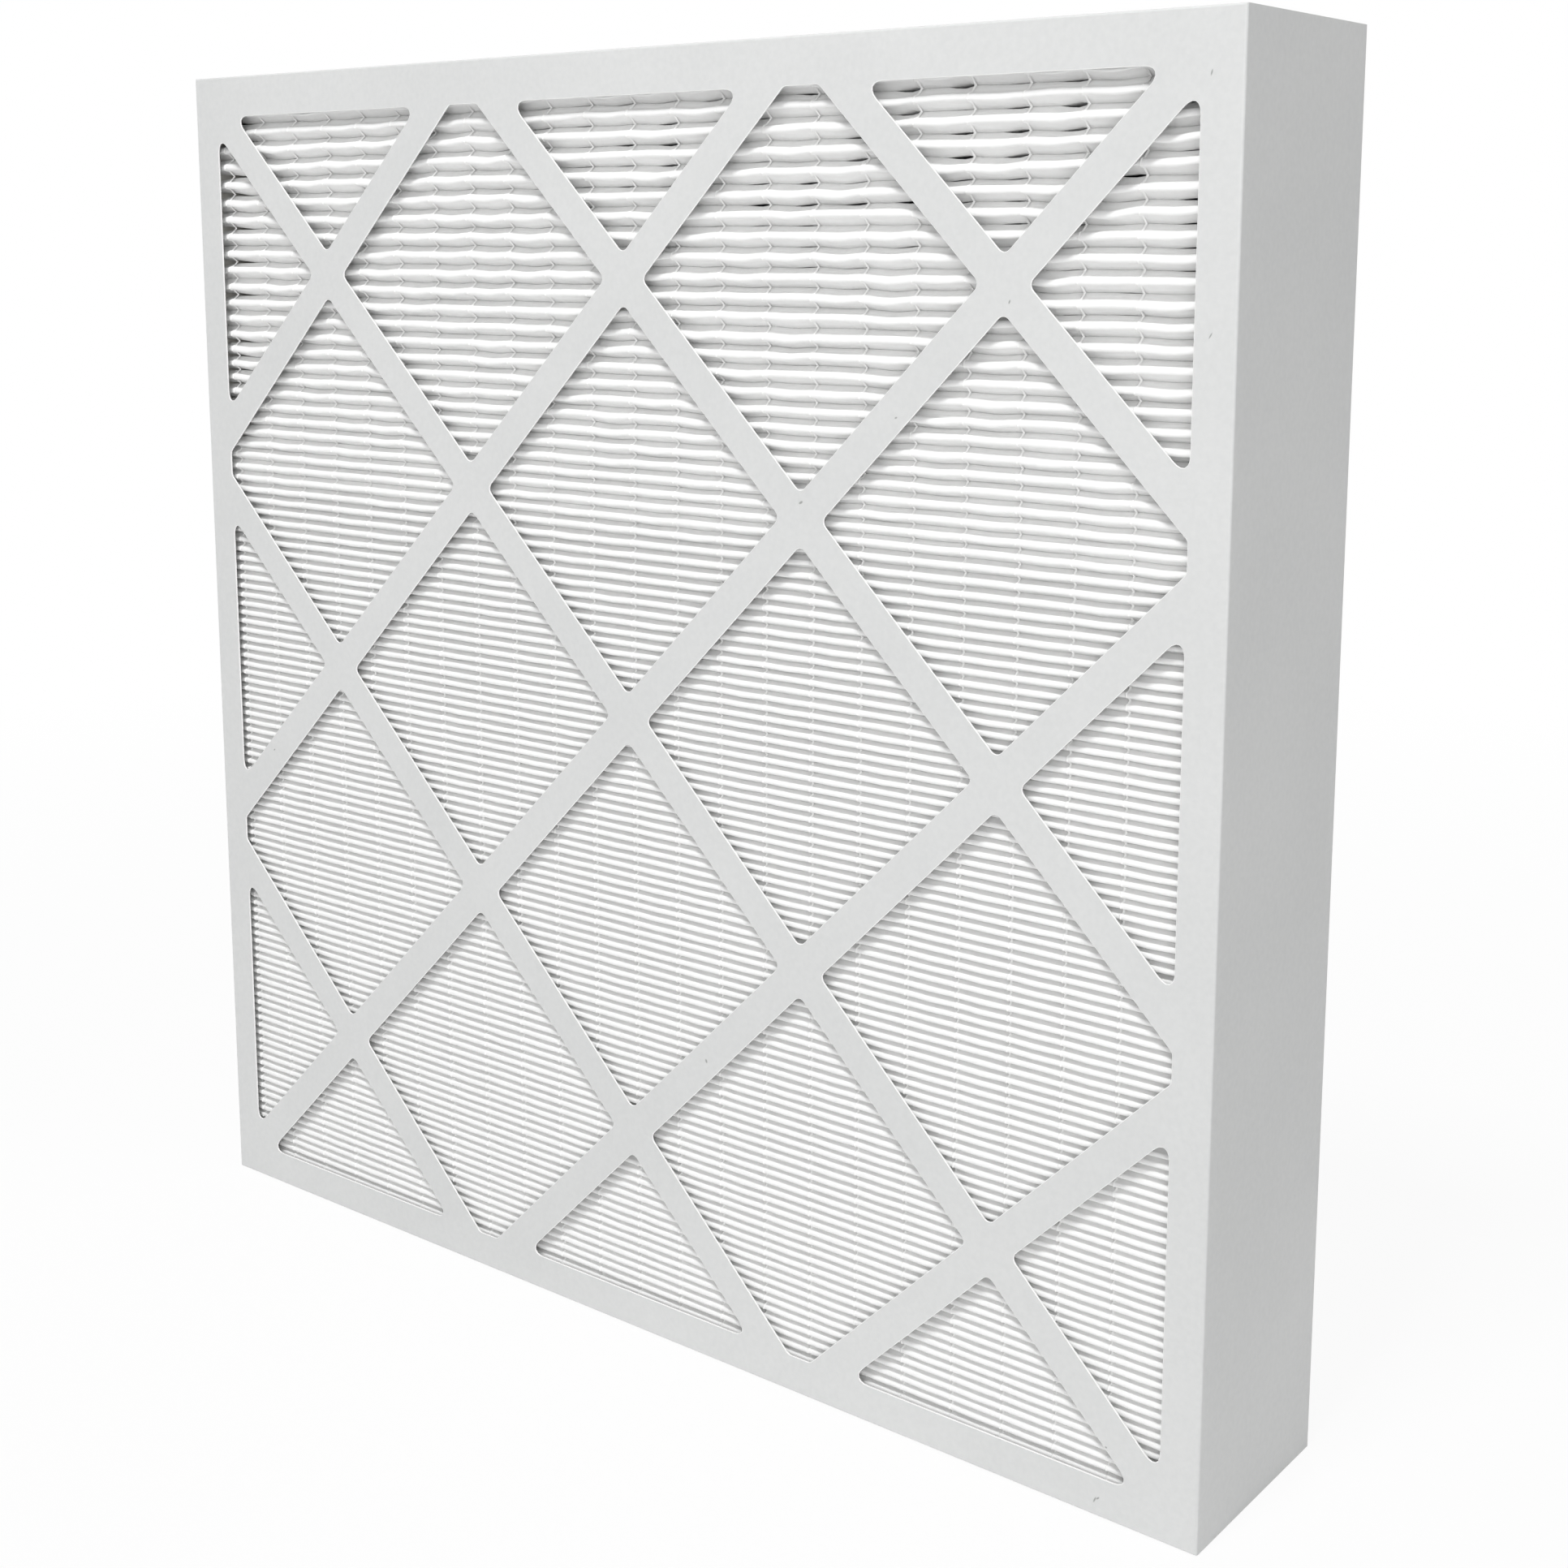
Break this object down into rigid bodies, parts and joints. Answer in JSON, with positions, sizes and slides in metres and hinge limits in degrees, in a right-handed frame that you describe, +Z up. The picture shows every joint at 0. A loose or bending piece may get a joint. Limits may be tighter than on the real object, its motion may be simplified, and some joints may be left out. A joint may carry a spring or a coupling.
{
  "type": "pleated panel air filter",
  "caption": "Deep square panel air filter: closely pleated white sheet with hot-melt separators, held in two nested die-cut board trays with diagonal lattice faces.",
  "frame": {"origin": "centre of the footprint, on the bottom edge that the filter stands on", "axes": "+X across the face to the right seen from the air-entering side, +Y in the direction of the air, +Z up"},
  "size_m": [0.5936, 0.1016, 0.5937],
  "materials": {
    "board": "white clay-coated paperboard, matt, with fine fibres and pale cut edges",
    "filter_media": "white needled synthetic sheet, matt, faintly wrinkled",
    "adhesive": "white edge-bonding adhesive, satin",
    "hot_melt": "white hot melt, slightly glossy"
  },
  "bodies": {
    "root": {"front_frame": "board", "rear_frame": "board", "pleated_media": "filter_media", "left_edge_seal": "adhesive", "right_edge_seal": "adhesive", "top_edge_seal": "adhesive", "bottom_edge_seal": "adhesive", "front_bead_01": "hot_melt", "front_bead_02": "hot_melt", "front_bead_03": "hot_melt", "front_bead_04": "hot_melt", "front_bead_05": "hot_melt", "front_bead_06": "hot_melt", "front_bead_07": "hot_melt", "front_bead_08": "hot_melt", "front_bead_09": "hot_melt", "front_bead_10": "hot_melt", "front_bead_11": "hot_melt", "front_bead_12": "hot_melt", "front_bead_13": "hot_melt", "front_bead_14": "hot_melt", "front_bead_15": "hot_melt", "front_bead_16": "hot_melt", "front_bead_17": "hot_melt", "front_bead_18": "hot_melt", "front_bead_19": "hot_melt", "front_bead_20": "hot_melt", "front_bead_21": "hot_melt", "front_bead_22": "hot_melt", "front_bead_23": "hot_melt", "rear_bead_01": "hot_melt", "rear_bead_02": "hot_melt", "rear_bead_03": "hot_melt", "rear_bead_04": "hot_melt", "rear_bead_05": "hot_melt", "rear_bead_06": "hot_melt", "rear_bead_07": "hot_melt", "rear_bead_08": "hot_melt", "rear_bead_09": "hot_melt", "rear_bead_10": "hot_melt", "rear_bead_11": "hot_melt", "rear_bead_12": "hot_melt", "rear_bead_13": "hot_melt", "rear_bead_14": "hot_melt", "rear_bead_15": "hot_melt", "rear_bead_16": "hot_melt", "rear_bead_17": "hot_melt", "rear_bead_18": "hot_melt", "rear_bead_19": "hot_melt", "rear_bead_20": "hot_melt", "rear_bead_21": "hot_melt", "rear_bead_22": "hot_melt", "rear_bead_23": "hot_melt"}
  },
  "joints": []
}
